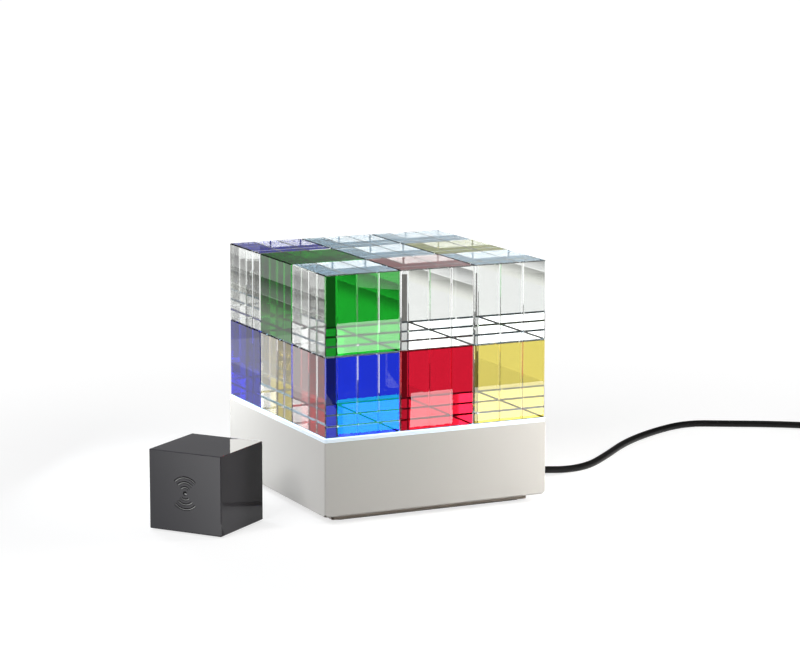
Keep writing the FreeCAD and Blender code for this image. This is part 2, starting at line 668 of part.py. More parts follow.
def sign_beads():
    """The sign's inlay: a domed dot and half-round strokes, crests just below the face."""
    centre = V(CUBE / 2, 0, CUBE / 2)
    inward = V(0, 1, 0)
    rise = SIGN_DEPTH - BEAD_CREST
    dot_r = SIGN_DOT_R - BEAD_FIT
    dome_r = (dot_r ** 2 + rise ** 2) / (2 * rise)
    dome = Part.makeSphere(dome_r, centre + inward * (BEAD_CREST + dome_r))
    beads = [dome.common(rod(dot_r + BEAD_FIT / 2, SIGN_DEPTH, centre, inward))]
    half = SIGN_STROKE / 2 - BEAD_FIT
    bead_r = (half ** 2 + rise ** 2) / (2 * rise)
    for radius in SIGN_RADII:
        ring = Part.makeTorus(radius, bead_r, centre + inward * (BEAD_CREST + bead_r), inward)
        beads += [ring.common(fan(side, SIGN_HALF_SPAN - 1.0, centre)) for side in (-1, 1)]
    return beads


def fan(side, half_span, centre):
    """Wedge above or below the sign's centre, as deep as the grooves."""
    reach = 2 * SIGN_RADII[-1]
    half = math.radians(half_span)
    left = V(-reach * math.sin(half), 0, side * reach * math.cos(half))
    right = V(reach * math.sin(half), 0, side * reach * math.cos(half))
    outline = Part.makePolygon([centre, centre + left, centre + right, centre])
    return Part.Face(outline).extrude(V(0, SIGN_DEPTH, 0))


def control_cube():
    """Black control cube with its battery and radio board, in its own frame, then set in place."""
    shell = Part.makeBox(CUBE, CUBE, CUBE - CONTROL_LIFT, V(0, 0, CONTROL_LIFT))
    shell = shell.makeChamfer(CONTROL_BEVEL, shell.Edges)
    inside = CUBE - 2 * CONTROL_WALL
    shell = shell.cut(Part.makeBox(inside, inside, CUBE - CONTROL_WALL,
                                   V(CONTROL_WALL, CONTROL_WALL, 0)))
    for groove in sign_grooves():
        shell = shell.cut(groove)
    middle = CUBE / 2
    fit = 0.1
    floor_side = inside - 2 * fit
    floor = rounded_block(floor_side, floor_side, CONTROL_FLOOR_T, CONTROL_PAD_T, 1.0, middle, middle)
    board_z = CONTROL_PAD_T + CONTROL_FLOOR_T + 12.0
    battery_z = CONTROL_PAD_T + CONTROL_FLOOR_T + 1.2
    clip = block(27.0, 8.0, 1.0, battery_z - 1.2, middle, middle)
    for side in (-1, 1):
        clip = clip.fuse(block(0.8, 8.0, 9.6, battery_z - 1.2, middle + side * 13.1, middle))
    board = rounded_block(33.0, 33.0, 1.2, board_z, 2.0, middle, middle)
    posts = [rod(1.8, board_z - CONTROL_PAD_T - CONTROL_FLOOR_T,
                 V(middle + x, middle + y, CONTROL_PAD_T + CONTROL_FLOOR_T)) for x, y in corners(14.0)]
    floor = floor.fuse(posts)
    pieces = {
        "control_cube_shell": shell,
        "control_wireless_sign": Part.makeCompound(sign_beads()),
        "control_floor_plate": floor,
        "control_foot_pad": rounded_block(30.0, 30.0, CONTROL_PAD_T, 0.0, 3.0, middle, middle),
        "control_battery": rod(12.25, 7.7, V(middle, middle, battery_z)),
        "control_battery_clip": clip,
        "control_radio_board": board.fuse(block(12.0, 9.0, 1.6, board_z + 1.2, middle, middle + 6)),
    }
    spin = FreeCAD.Rotation(UP, CONTROL_YAW)
    frame = FreeCAD.Placement(V(CONTROL_CORNER[0], CONTROL_CORNER[1], 0), spin)
    for name, shape in pieces.items():
        shape.Placement = frame.multiply(shape.Placement)
        save(name, shape)


os.makedirs("parts", exist_ok=True)
glass_cubes()
base_pieces()
light_engine()
control_board()
save("cord_strain_relief", strain_relief())
power_supply(cord_pieces())
control_cube()
for name, volume, valid in saved:
    print(f"{name:28s} {volume:10.1f} mm3 {'' if valid else 'NOT VALID'}")
print(len(saved), "nodes")
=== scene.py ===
"""Dressed model of a crystal cube light: glass, finishes, the lead on the table and the studio.

The lamp is a folded steel base with an opal plate on it, eighteen ground glass cubes that stand
loose on the plate, a small black control cube and a plug-in power supply on a thin lead.
"""
import math

import bpy
import numpy as np
from mathutils import Matrix, Vector


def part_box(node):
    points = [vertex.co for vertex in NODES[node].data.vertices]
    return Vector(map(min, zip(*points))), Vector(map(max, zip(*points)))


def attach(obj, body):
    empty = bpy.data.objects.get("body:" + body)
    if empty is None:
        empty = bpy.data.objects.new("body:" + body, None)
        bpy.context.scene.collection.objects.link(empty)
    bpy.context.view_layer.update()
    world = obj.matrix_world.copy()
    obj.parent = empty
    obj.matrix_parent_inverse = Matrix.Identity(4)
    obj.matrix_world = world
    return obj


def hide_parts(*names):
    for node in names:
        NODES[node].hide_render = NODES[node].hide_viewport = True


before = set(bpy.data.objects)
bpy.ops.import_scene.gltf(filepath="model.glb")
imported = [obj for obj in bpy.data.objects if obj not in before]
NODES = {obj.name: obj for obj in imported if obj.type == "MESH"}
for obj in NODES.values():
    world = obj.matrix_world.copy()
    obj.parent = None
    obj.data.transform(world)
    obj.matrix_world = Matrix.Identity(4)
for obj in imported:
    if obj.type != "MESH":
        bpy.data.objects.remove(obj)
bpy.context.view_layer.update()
MM = 0.001
WHITE = (1.0, 1.0, 1.0, 1.0)
BLACK = (0.0, 0.0, 0.0, 1.0)

bl_info = {
    "name": "Crystal cube light",
    "version": (1, 0, 0),
    "blender": (4, 5, 0),
    "location": "3D View > Sidebar > Cube Light",
    "description": "Glass cubes, base, control cube, lead and studio of a crystal cube light",
    "category": "Add Mesh",
}


# ---------------------------------------------------------------- colours and nodes

def linear(hex_colour):
    """Linear red, green, blue and alpha of a colour written as sRGB hex."""
    shares = [int(hex_colour[k:k + 2], 16) / 255 for k in (1, 3, 5)]
    return tuple(s / 12.92 if s <= 0.04045 else ((s + 0.055) / 1.055) ** 2.4 for s in shares) + (1.0,)


def add(tree, kind, inputs=None, **settings):
    """Adds a shader node with its settings; an input is a value, or another node's output to link."""
    node = tree.nodes.new("ShaderNode" + kind)
    for name, value in settings.items():
        setattr(node, name, value)
    for name, value in (inputs or {}).items():
        if isinstance(value, bpy.types.NodeSocket):
            tree.links.new(value, node.inputs[name])
        else:
            node.inputs[name].default_value = value
    return node


def finish(name, colour, **sockets):
    """A new material with one Principled shader; sockets are its values that are the same all over."""
    material = bpy.data.materials.new(name)
    material.use_nodes = True
    tree = material.node_tree
    shader = tree.nodes["Principled BSDF"]
    shader.inputs["Base Color"].default_value = colour
    for socket, value in sockets.items():
        shader.inputs[socket.replace("_", " ")].default_value = value
    return material, tree, shader


def place(tree, turn=(0.0, 0.0, 0.0), stretch=(1.0, 1.0, 1.0)):
    """Object coordinates, turned and stretched for a pattern that has a direction."""
    coordinates = add(tree, "TexCoord").outputs["Object"]
    return add(tree, "Mapping", {"Vector": coordinates, "Rotation": turn, "Scale": stretch}).outputs["Vector"]


def grains(spacing_mm):
    """Noise scale whose grains lie so many millimetres apart."""
    return 1000.0 / spacing_mm


def shade_of(colour, factor):
    """The same colour, lighter or darker by a factor."""
    return tuple(min(1.0, c * factor) for c in colour[:3]) + (1.0,)


def vary(tree, shader, where, colour, spacing_mm, low, high, detail=3.0):
    """Lets the colour drift between low and high times itself, in soft clouds of that spacing."""
    cloud = add(tree, "TexNoise", {"Vector": where, "Scale": grains(spacing_mm), "Detail": detail})
    ends = {6: shade_of(colour, low), 7: shade_of(colour, high)}
    mix = add(tree, "Mix", {"Factor": cloud.outputs["Fac"], **ends}, data_type="RGBA")
    tree.links.new(mix.outputs[2], shader.inputs["Base Color"])


def wear(tree, shader, where, spacing_mm, low, high, detail=4.0):
    """Lets the roughness wander between low and high, in patches of that spacing."""
    cloud = add(tree, "TexNoise", {"Vector": where, "Scale": grains(spacing_mm), "Detail": detail})
    spread = add(tree, "MapRange", {"Value": cloud.outputs["Fac"], "From Min": 0.3, "From Max": 0.7,
                                    "To Min": low, "To Max": high})
    tree.links.new(spread.outputs["Result"], shader.inputs["Roughness"])


def relief(tree, shader, height, depth_mm):
    """Raises the surface by a pattern's height, its full depth in millimetres."""
    bump = add(tree, "Bump", {"Height": height, "Distance": depth_mm * MM, "Strength": 1.0})
    tree.links.new(bump.outputs["Normal"], shader.inputs["Normal"])


# ---------------------------------------------------------------- finishes

CUBE_PASS = 0.0416  # metres of glass that the eye's ray crosses in one cube
DARKEST_SHARE = 0.0005


def polished_crystal(name, colour):
    """Optical crown glass, sawn, ground and polished: index 1.517, sharp inner mirror images.

    The colour is melted in, so it deepens with the way that light goes through: colour is what
    one straight pass lets through. Polishing leaves a film that drifts by one part in a hundred.
    """
    material, tree, shader = finish(name, WHITE, Roughness=0.0, IOR=1.517, Transmission_Weight=1.0)
    vary(tree, shader, place(tree), shade_of(WHITE, 0.998), 26.0, 0.99, 1.0, 2.0)
    loss = [-math.log(max(share, DARKEST_SHARE)) / CUBE_PASS for share in colour[:3]]
    densest = max(max(loss), 1.0)
    melt = add(tree, "VolumeAbsorption", {"Color": tuple(1.0 - k / densest for k in loss) + (1.0,),
                                          "Density": densest})
    tree.links.new(melt.outputs["Volume"], tree.nodes["Material Output"].inputs["Volume"])
    return material


def satin_lacquer(name, colour, rough):
    """Steel sheet, sprayed and stoved: a satin skin with faint orange peel 1.6 mm across."""
    material, tree, shader = finish(name, colour, IOR=1.5, Coat_Weight=0.12, Coat_Roughness=0.25)
    where = place(tree)
    vary(tree, shader, where, colour, 45.0, 0.985, 1.015)
    wear(tree, shader, where, 12.0, rough - 0.03, rough + 0.03)
    peel = add(tree, "TexNoise", {"Vector": where, "Scale": grains(1.6), "Detail": 2.0})
    relief(tree, shader, peel.outputs["Fac"], 0.012)
    return material


def moulded_plastic(name, colour, rough, grain_mm, depth_mm, **sockets):
    """Injection-moulded from an etched tool: fine pits, and a gloss that differs a little."""
    material, tree, shader = finish(name, colour, IOR=1.49, **sockets)
    where = place(tree)
    vary(tree, shader, where, colour, 30.0, 0.95, 1.05)
    wear(tree, shader, where, 9.0, max(0.03, rough - 0.04), rough + 0.04)
    pits = add(tree, "TexNoise", {"Vector": where, "Scale": grains(grain_mm), "Detail": 1.0})
    relief(tree, shader, pits.outputs["Fac"], depth_mm)
    return material


def piano_black(name, colour, level):
    """Smooth gloss black: charcoal under a clear mirror of that level, with hairline wipe marks."""
    material, tree, shader = finish(name, colour, IOR=1.49, Specular_IOR_Level=level)
    vary(tree, shader, place(tree), colour, 22.0, 0.96, 1.04)
    hairs = add(tree, "TexNoise", {"Vector": place(tree, (0.3, 0.2, 0.9), (1.0, 12.0, 1.0)),
                                   "Scale": grains(7.0), "Detail": 5.0})
    spread = add(tree, "MapRange", {"Value": hairs.outputs["Fac"], "From Min": 0.4, "From Max": 0.75,
                                    "To Min": 0.04, "To Max": 0.08})
    tree.links.new(spread.outputs["Result"], shader.inputs["Roughness"])
    return material


def plated_metal(name, colour, rough):
    """Steel or brass with a thin bright plating: soft mirror, clouded by handling."""
    material, tree, shader = finish(name, colour, Metallic=1.0)
    where = place(tree)
    vary(tree, shader, where, colour, 4.0, 0.93, 1.05)
    wear(tree, shader, where, 1.2, rough - 0.05, rough + 0.09)
    return material


def rolled_metal(name, colour, rough):
    """Rolled sheet left bare: roll lines along one way, 0.5 mm apart."""
    material, tree, shader = finish(name, colour, Metallic=1.0)
    lines = place(tree, stretch=(0.04, 1.0, 1.0))
    vary(tree, shader, lines, colour, 0.5, 0.9, 1.06)
    wear(tree, shader, lines, 0.5, rough - 0.06, rough + 0.08)
    return material


def soft_rubber(name, colour):
    """Moulded rubber: matt, with skin pores 0.35 mm apart that catch dust."""
    material, tree, shader = finish(name, colour, IOR=1.52, Roughness=0.82)
    where = place(tree)
    vary(tree, shader, where, colour, 6.0, 0.8, 1.25)
    pores = add(tree, "TexVoronoi", {"Vector": where, "Scale": grains(0.35)})
    relief(tree, shader, pores.outputs["Distance"], 0.03)
    return material


def opal_plate(name, colour, glow, strength):
    """Cast opal acrylic over the lamps: evenly lit, a shade brighter above each light, dim at its rim."""
    material, tree, shader = finish(name, colour, IOR=1.49, Roughness=0.35, Emission_Strength=strength)
    where = add(tree, "TexCoord").outputs["Object"]
    spot = add(tree, "TexVoronoi", {"Vector": where, "Scale": grains(20.0), "Randomness": 0.0})
    even = add(tree, "MapRange", {"Value": spot.outputs["Distance"], "From Min": 0.0, "From Max": 0.75,
                                  "To Min": 1.0, "To Max": 0.93})
    level = add(tree, "SeparateXYZ", {"Vector": add(tree, "NewGeometry").outputs["Normal"]})
    rim = add(tree, "MapRange", {"Value": level.outputs["Z"], "From Min": 0.0, "From Max": 0.9,
                                 "To Min": 0.2, "To Max": 1.0})
    share = add(tree, "Math", {0: even.outputs["Result"], 1: rim.outputs["Result"]}, operation="MULTIPLY")
    shine = add(tree, "Mix", {"Factor": share.outputs["Value"], 6: BLACK, 7: glow},
                data_type="RGBA")
    tree.links.new(shine.outputs[2], shader.inputs["Emission Color"])
    return material


def solder_mask(name, colour):
    """Glass-fibre board under solder mask: traces 1.3 mm apart show lighter through the ink."""
    material, tree, shader = finish(name, colour, IOR=1.52, Coat_Weight=0.4, Coat_Roughness=0.12)
    where = place(tree, (0.0, 0.0, math.pi / 4))
    traces = add(tree, "TexBrick", {"Vector": where, "Color1": colour, "Color2": shade_of(colour, 1.12),
                                    "Mortar": shade_of(colour, 0.82), "Scale": 1.0, "Mortar Size": 0.00022,
                                    "Brick Width": 0.0052, "Row Height": 0.0013})
    tree.links.new(traces.outputs["Color"], shader.inputs["Base Color"])
    wear(tree, shader, where, 3.0, 0.32, 0.42)
    return material


def woven_strap(name, colour):
    """Hook-and-loop tape: nylon loops in rows 0.7 mm apart, dull and slightly fuzzy."""
    material, tree, shader = finish(name, colour, IOR=1.53, Roughness=0.9, Sheen_Weight=0.35,
                                    Sheen_Roughness=0.5)
    where = place(tree)
    vary(tree, shader, where, colour, 1.5, 0.75, 1.3)
    loops = add(tree, "TexVoronoi", {"Vector": where, "Scale": grains(0.7)})
    relief(tree, shader, loops.outputs["Distance"], 0.12)
    return material


def lead_jacket(name, colour):
    """Extruded PVC: satin black, with the draw marks of the die as faint ripples 2 mm apart."""
    material, tree, shader = finish(name, colour, IOR=1.45, Specular_IOR_Level=0.3)
    where = place(tree)
    vary(tree, shader, where, colour, 14.0, 0.85, 1.2)
    wear(tree, shader, where, 5.0, 0.42, 0.55)
    ripple = add(tree, "TexNoise", {"Vector": where, "Scale": grains(2.0), "Detail": 2.0})
    relief(tree, shader, ripple.outputs["Fac"], 0.02)
    return material


def lamp_package(name, colour):
    """Surface-mounted light: a yellow phosphor pool in a white ceramic cup."""
    material, tree, shader = finish(name, colour, IOR=1.5, Roughness=0.4, Emission_Strength=0.6)
    vary(tree, shader, place(tree), colour, 0.9, 0.8, 1.15)
    shader.inputs["Emission Color"].default_value = linear("#FFF3D0")
    return material


# ---------------------------------------------------------------- sizes and colours to change

def colour_property(name, description, colour):
    """A colour that a user may change, kept in linear light; given as sRGB hex or as linear shares."""
    default = linear(colour) if isinstance(colour, str) else colour + (1.0,)
    return bpy.props.FloatVectorProperty(name=name, description=description, subtype="COLOR", size=4,
                                         min=0.0, max=1.0, default=default)


def length_property(name, description, metres):
    """A length in metres that a user may change."""
    return bpy.props.FloatProperty(name=name, description=description, default=metres, subtype="DISTANCE")


def level_property(name, description, level):
    """The power or level of a light, from none up."""
    return bpy.props.FloatProperty(name=name, description=description, default=level, min=0.0)


class CrystalSettings(bpy.types.PropertyGroup):
    """Sizes and melt colours of the glass cubes."""
    size: length_property("Cube size", "Side of each ground cube", 0.03997)
    edge: length_property("Ground edge", "Width of the flat ground on every edge", 0.0005)
    clear: colour_property("Clear", "What one clear cube lets through", "#FDFEFD")
    green: colour_property("Green", "What one green cube lets through", (0.012, 0.43, 0.03))
    blue: colour_property("Blue", "What one blue cube lets through", (0.012, 0.035, 0.74))
    red: colour_property("Red", "What one red cube lets through", (0.74, 0.013, 0.04))
    yellow: colour_property("Yellow", "What one yellow cube lets through", (0.93, 0.79, 0.19))


class BaseSettings(bpy.types.PropertyGroup):
    """Colours of the lamp's base and its glow."""
    shell: colour_property("Shell", "Satin lacquer of the folded shell", "#DAD7D1")
    # Partly the tray's own warm lacquer and partly painted light: the colour is set lighter to make up for
    # the shade under the shell's overhang.
    tray: colour_property("Tray", "Lacquer of the bottom tray", "#E2D2C2")
    glow: colour_property("Glow", "Colour of the light from the plate", (0.45, 0.74, 1.0))
    glow_strength: level_property("Glow strength", "How bright the plate is lit", 1.5)


class ControlSettings(bpy.types.PropertyGroup):
    """Colours of the control cube."""
    shell: colour_property("Shell", "Gloss charcoal of the control cube", "#434246")
    sign: colour_property("Sign", "Enamel in the engraved wireless sign", "#232224")


class LeadSettings(bpy.types.PropertyGroup):
    """Sizes of the lead and its coil."""
    diameter: length_property("Diameter", "Outside of the lead's jacket", 0.0038)
    turns: bpy.props.IntProperty(name="Turns", description="Turns of the put-away coil", default=10, min=1)
    jacket: colour_property("Jacket", "PVC jacket of the lead", "#0E0D0D")


class StudioSettings(bpy.types.PropertyGroup):
    """Strengths of the studio's lamps and of its low softbox."""
    key: level_property("Key", "Power of the lamp at the left", 22.0)
    fill: level_property("Fill", "Power of the lamp at the right", 1.0)
    top: level_property("Top", "Power of the lamp overhead", 5.0)
    room: level_property("Room", "Level of the room's own light", 0.06)
    edge: level_property("Edge", "Power of the small lamp at the back left", 0.14)
    near: level_property("Near", "Power of the small lamp at the front right", 0.48)
    softbox: level_property("Softbox", "Level of the low softbox behind the glass", 3.0)


class CubeLightSettings(bpy.types.PropertyGroup):
    """Everything about the lamp that a user may change."""
    crystal: bpy.props.PointerProperty(type=CrystalSettings)
    base: bpy.props.PointerProperty(type=BaseSettings)
    control: bpy.props.PointerProperty(type=ControlSettings)
    lead: bpy.props.PointerProperty(type=LeadSettings)
    studio: bpy.props.PointerProperty(type=StudioSettings)


# ---------------------------------------------------------------- mesh helpers

def mesh_object(name, points, faces, material):
    """A mesh object from arrays of points and faces, linked to the scene."""
    mesh = bpy.data.meshes.new(name)
    mesh.from_pydata(points.tolist(), [], faces.tolist())
    mesh.update()
    mesh.materials.append(material)
    piece = bpy.data.objects.new(name, mesh)
    bpy.context.scene.collection.objects.link(piece)
    return piece


def ground_cube_arrays(centre, size, edge):
    """Points and faces of a cube with a flat ground on every edge and corner.

    Each side is a grid of two parameters in -h..h with lines at the ends and one edge width in
    from them. A grid point p is split into q, p held inside the cube less its edge width, and
    the rest r. The surface is q plus r shortened so that the absolute values of its three parts
    add up to the edge width: that keeps the sides flat, and lays 45 degree flats on the edges
    and a small triangle on each corner.
    """
    half = size / 2
    lines = np.array([-half, edge - half, half - edge, half])
    a, b = (g.ravel() for g in np.meshgrid(lines, lines, indexing="ij"))
    count = len(lines)
    cell = np.arange(count - 1)
    i, j = (g.ravel() for g in np.meshgrid(cell, cell, indexing="ij"))
    quad = np.stack([i * count + j, (i + 1) * count + j, (i + 1) * count + j + 1, i * count + j + 1], 1)
    points, faces = [], []
    for axis in range(3):
        for side in (1, -1):
            grid = np.empty((count * count, 3))
            grid[:, axis] = side * half
            grid[:, (axis + 1) % 3] = a
            grid[:, (axis + 2) % 3] = b
            faces.append((quad if side > 0 else quad[:, ::-1]) + len(points) * count * count)
            points.append(grid)
    grid = np.concatenate(points)
    core = np.clip(grid, edge - half, half - edge)
    rest = grid - core
    surface = core + rest * (edge / np.abs(rest).sum(1, keepdims=True))
    keys, back = np.unique(np.round(surface, 9), axis=0, return_inverse=True)
    return keys + np.asarray(centre), back.reshape(-1)[np.concatenate(faces)]


# ---------------------------------------------------------------- the lead's route

LEAD_ROUTE_MM = [
    (74.0, -13.0, 4.2), (85.0, -13.0, 4.2), (99.0, -11.5, 2.3), (116.0, -7.5, 1.95),
    (137.0, 10.0, 1.95), (163.0, 34.5, 1.95), (192.0, 53.0, 1.95), (221.0, 64.5, 1.95),
    (241.0, 53.5, 1.95), (262.0, 41.5, 2.2), (281.5, 24.5, 2.75),
]
COIL_HEADING = math.radians(-44.5)
COIL_LEAD_IN_MM = 25.0
COIL_LAYERS = 4
COIL_MID_MM = 22.8
COIL_STEP_MM = 4.35
CLIMB_HALF = 0.25
POINTS_PER_TURN = 16
TAIL_STRAIGHT_MM = 8.0
TAIL_REACH_MM = 22.0
SUPPLY_ENTRY_MM = 15.0


def coil_points(turns):
    """The coil in its own frame, as an array of points for an array of turn counts.

    The radius steps in and out by one lead a turn, layer by layer. In the half turn in which
    the lead climbs, it turns round in a parabola and rises by a smooth step.
    """
    total = bpy.context.scene.cube_light.lead.turns
    per_layer = total / COIL_LAYERS
    outer = COIL_MID_MM + per_layer / 2 * COIL_STEP_MM
    inner = COIL_MID_MM - per_layer / 2 * COIL_STEP_MM
    layer = np.minimum((turns / per_layer).astype(int), COIL_LAYERS - 1)
    within = turns - layer * per_layer
    radius = np.where(layer % 2 == 0, outer - COIL_STEP_MM * within, inner + COIL_STEP_MM * within)
    nearest = np.round(turns / per_layer)
    off = turns - nearest * per_layer
    climbing = (nearest > 0) & (nearest < COIL_LAYERS) & (np.abs(off) < CLIMB_HALF)
    cap = COIL_STEP_MM * (off * off / (2 * CLIMB_HALF) + CLIMB_HALF / 2)
    radius = np.where(climbing, np.where(nearest % 2 == 1, inner + cap, outer - cap), radius)
    share = (off + CLIMB_HALF) / (2 * CLIMB_HALF)
    level = np.where(climbing, nearest - 1 + share * share * (3 - 2 * share), layer)
    angle = 2 * math.pi * turns
    return np.stack([radius * np.cos(angle), radius * np.sin(angle), level * COIL_STEP_MM], 1)


def lead_points():
    """Control points of the whole lead in metres, from the base to the power supply."""
    settings = bpy.context.scene.cube_light.lead
    thickness = settings.diameter / MM
    way = np.array([math.cos(COIL_HEADING), math.sin(COIL_HEADING), 0.0])
    last = np.array(LEAD_ROUTE_MM[-1])
    small = 1e-5
    before, after = coil_points(np.array([1e-4 - small, 1e-4 + small]))
    first = after - before
    spin = COIL_HEADING - math.atan2(first[1], first[0])
    turned = np.array([[math.cos(spin), -math.sin(spin), 0.0], [math.sin(spin), math.cos(spin), 0.0],
                       [0.0, 0.0, 1.0]])
    turns = np.linspace(0.0, settings.turns, settings.turns * POINTS_PER_TURN + 1)
    local = coil_points(turns)
    start = last + way * (COIL_LEAD_IN_MM + thickness)
    coil = (local - local[0]) @ turned.T + start
    end_way = coil[-1] - (coil_points(turns[-1:] - small)[0] - local[0]) @ turned.T - start
    end_way = end_way / np.linalg.norm(end_way)
    coil_end = coil[-1] + end_way * thickness
    flat = np.array([end_way[0], end_way[1], 0.0])
    flat = flat / np.linalg.norm(flat)
    entry = np.array([coil_end[0], coil_end[1], SUPPLY_ENTRY_MM]) + flat * TAIL_REACH_MM
    tail = [coil_end, coil_end + end_way * TAIL_STRAIGHT_MM, entry - flat * TAIL_STRAIGHT_MM, entry]
    route = [*LEAD_ROUTE_MM, last + way * COIL_LEAD_IN_MM]
    return np.concatenate([np.array(route), coil, np.array(tail)]) * MM


# ---------------------------------------------------------------- finishes of the frame's nodes

def crystal_of(node):
    """The melt of a cube's node: the last word of its name."""
    return node.rsplit("_", 1)[1]


def base_finishes():
    """Finish of every node of the base, by a maker's name for it."""
    s = bpy.context.scene.cube_light.base
    zinc = plated_metal("zinc_plated_steel", linear("#C4C6C8"), 0.3)
    return {
        "base_shell": satin_lacquer("satin_stoved_lacquer", tuple(s.shell), 0.36),
        # The tray's colour is partly its own warm lacquer and partly painted light, set lighter to make up
        # for the shade under the shell's overhang.
        "bottom_tray": satin_lacquer("stoved_tray_lacquer", tuple(s.tray), 0.42),
        "rubber_base_pad": soft_rubber("moulded_black_rubber", linear("#1B1A1A")),
        "tray_screws": zinc,
        "press_nuts": zinc,
        "board_standoffs": zinc,
        "carrier_screws": zinc,
        "opal_plate": opal_plate("cast_opal_acrylic", linear("#F4F6F8"), tuple(s.glow), s.glow_strength),
        "light_chamber": moulded_plastic("moulded_white_abs", linear("#F1F1EE"), 0.4, 0.8, 0.01),
        "heat_spreader_plate": rolled_metal("bare_rolled_aluminium", linear("#C9CBCD"), 0.32),
        "led_board": solder_mask("white_solder_mask", linear("#EDEEEA")),
        "leds": lamp_package("phosphor_lamp_package", linear("#F0DF9A")),
        "control_board": solder_mask("green_solder_mask", linear("#1E5B34")),
        "board_posts": moulded_plastic("moulded_nylon", linear("#E5E1D3"), 0.45, 0.5, 0.01),
        "terminal_block": moulded_plastic("moulded_green_nylon", linear("#2C7B45"), 0.4, 0.5, 0.01),
        "radio_module": plated_metal("tinned_steel_can", linear("#D3D4D2"), 0.26),
        "driver_coil": moulded_plastic("sintered_ferrite", linear("#3A3A3C"), 0.55, 0.25, 0.02),
        "smoothing_capacitor": moulded_plastic("shrunk_capacitor_sleeve", linear("#23272F"), 0.3, 2.0, 0.01),
        "driver_chip": moulded_plastic("moulded_black_epoxy", linear("#17181A"), 0.5, 0.3, 0.01),
        "lead_cores": moulded_plastic("pvc_core_insulation", linear("#A31D1D"), 0.4, 0.6, 0.005),
        "link_wires": plated_metal("tinned_copper", linear("#C9C4BC"), 0.28),
        "cord_strain_relief": moulded_plastic("soft_black_tpe", linear("#1B1B1B"), 0.55, 0.4, 0.02),
    }


def control_finishes():
    """Finish of every node of the control cube."""
    s = bpy.context.scene.cube_light.control
    return {
        "control_cube_shell": piano_black("mirror_moulded_black_abs", tuple(s.shell), 0.15),
        "control_wireless_sign": piano_black("gloss_black_enamel", tuple(s.sign), 0.8),
        "control_floor_plate": moulded_plastic("moulded_black_abs", linear("#171717"), 0.5, 0.4, 0.02),
        "control_foot_pad": soft_rubber("sponge_foot_rubber", linear("#161616")),
        "control_battery": plated_metal("nickel_plated_battery_steel", linear("#CFCFCB"), 0.22),
        "control_battery_clip": plated_metal("nickel_plated_spring_bronze", linear("#C8C2B0"), 0.25),
        "control_radio_board": solder_mask("green_board_mask", linear("#20603A")),
    }


def supply_finishes():
    """Finish of every node of the power supply and the coil's tie."""
    black = moulded_plastic("etched_black_pc_abs", linear("#1A1A1B"), 0.52, 0.45, 0.03)
    return {
        "supply_rear_housing": black,
        "supply_front_housing": black,
        "supply_strain_relief": moulded_plastic("soft_black_pvc", linear("#191919"), 0.55, 0.4, 0.02),
        "supply_pins": plated_metal("nickel_plated_brass", linear("#D6D3C8"), 0.2),
        "supply_circuit_board": solder_mask("phenolic_board_mask", linear("#8C6A32")),
        "supply_transformer": moulded_plastic("taped_ferrite_core", linear("#C9A227"), 0.5, 0.8, 0.02),
        "cord_tie": woven_strap("hook_and_loop_nylon", linear("#1D1D1F")),
    }


def dress(finishes):
    """Puts each finish on its node's material slots."""
    for name, material in finishes.items():
        slots = NODES[name].material_slots
        if not slots:
            NODES[name].data.materials.append(material)
        for slot in slots:
            slot.material = material


# ---------------------------------------------------------------- studio helpers

FLOOR_REACH = 14.0
FLOOR_GREY = linear("#A0A0A0")
STRIP_Y = 330.0
NOT_IN_GLOSS = ("glossy",)
NOT_IN_GLASS = ("transmission",)
NOT_MIRRORED = ("glossy", "transmission")
FOOT_OF_GLASS = Vector((0.0, 0.0, 0.05))

# Name, place and side in metres, the setting of its power, tint, and the rays that it is hidden from.
LAMPS = [
    ("key_lamp_left", (-1.3, -0.7, 1.3), 0.9, "key", (0.97, 0.98, 1.0), NOT_MIRRORED),
    ("fill_lamp_right", (0.75, -0.8, 0.55), 0.5, "fill", (1.0, 0.97, 0.93), ()),
    ("top_lamp", (0.0, 0.2, 1.6), 1.2, "top", (1.0, 1.0, 1.0), ()),
    ("edge_lamp_back_left", (-0.13, 0.1, 0.095), 0.07, "edge", (0.92, 0.96, 1.0), NOT_MIRRORED),
    ("near_lamp_right", (0.19, -0.13, 0.1), 0.08, "near", (1.0, 0.98, 0.95), NOT_MIRRORED),
]


def studio_card(name, corners, levels, tint=WHITE, hidden_from=()):
    """A glowing card that only glass and gloss see, save for the rays that it is hidden from.

    Its corners are in millimetres. Its level fades from the side at corners one and four to the
    side at corners two and three.
    """
    material = bpy.data.materials.new(name + "_paper")
    material.use_nodes = True
    tree = material.node_tree
    tree.nodes.clear()
    along = add(tree, "SeparateXYZ", {"Vector": add(tree, "UVMap", uv_map="along").outputs["UV"]})
    level = add(tree, "MapRange", {"Value": along.outputs["X"], "To Min": levels[0], "To Max": levels[1]},
                interpolation_type="SMOOTHSTEP")
    light = add(tree, "Emission", {"Color": tint, "Strength": level.outputs["Result"]})
    add(tree, "OutputMaterial", {"Surface": light.outputs["Emission"]})
    card = mesh_object(name, np.array(corners, float) * MM, np.array([[0, 1, 2, 3]]), material)
    layer = card.data.uv_layers.new(name="along")
    layer.data.foreach_set("uv", [0, 0, 1, 0, 1, 1, 0, 1])
    for rays in ("camera", "shadow", "diffuse", *hidden_from):
        setattr(card, "visible_" + rays, False)


def facing_card(azimuth, distance, height, width, tall):
    """Corners in millimetres of an upright card that faces the lamp, azimuth from +Y towards +X."""
    a = math.radians(azimuth)
    out = Vector((math.sin(a), math.cos(a), 0.0))
    across = Vector((math.cos(a), -math.sin(a), 0.0)) * (width / 2)
    middle = out * distance + Vector((0.0, 0.0, height))
    up = Vector((0.0, 0.0, tall / 2))
    return [middle - across - up, middle + across - up, middle + across + up, middle - across + up]


def flat_card(height, *corners):
    """Corners of a card that lies at a height over the table."""
    return [(x, y, height) for x, y in corners]


